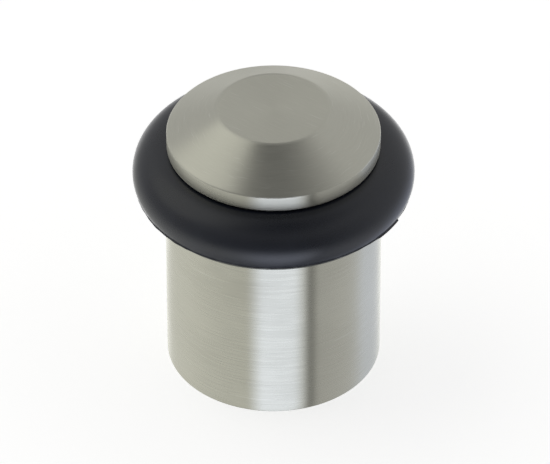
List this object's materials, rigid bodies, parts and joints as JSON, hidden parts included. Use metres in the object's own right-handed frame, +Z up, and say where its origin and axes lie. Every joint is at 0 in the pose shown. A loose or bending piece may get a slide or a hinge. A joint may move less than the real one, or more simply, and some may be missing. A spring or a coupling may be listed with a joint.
{
  "type": "floor door stop",
  "caption": "Cylindrical floor door stop: brushed metal tube body, black rubber buffer ring and a screw-on domed metal head, with a threaded hole in the base for a floor bolt.",
  "frame": {"origin": "centre of the round base, on the floor plane", "axes": "+Z up along the axis of the body; the part is round, so +X and +Y are free"},
  "size_m": [0.039, 0.039, 0.042],
  "materials": {
    "tube_metal": "satin, brushed round the tube",
    "head_metal": "satin, turned and brushed in circles",
    "plate_steel": "plain rolled steel",
    "nut_steel": "bright zinc plated",
    "spring_steel": "dark spring steel",
    "buffer_rubber": "moulded, satin"
  },
  "bodies": {
    "floor_body": {"body_tube": "tube_metal", "base_plate": "plate_steel", "base_nut": "nut_steel", "top_plate": "plate_steel", "head_nut": "nut_steel"},
    "buffer": {"rubber_ring": "buffer_rubber"},
    "screw_head": {"head": "head_metal", "head_stud": "nut_steel", "spring_washer": "spring_steel"}
  },
  "joints": [
    {"name": "head_lift", "type": "slide", "parent": "floor_body", "child": "buffer", "axis": [0, 0, 1], "range_m": [0, 0.007]},
    {"name": "head_turn", "type": "hinge", "parent": "buffer", "child": "screw_head", "pos_m": [0, 0, 0.0268], "axis": [0, 0, 1], "range_deg": [0, 2520]}
  ],
  "couplings": [
    {"joint": "head_lift", "follows": "head_turn", "m_per_rad": 0.00015915}
  ]
}
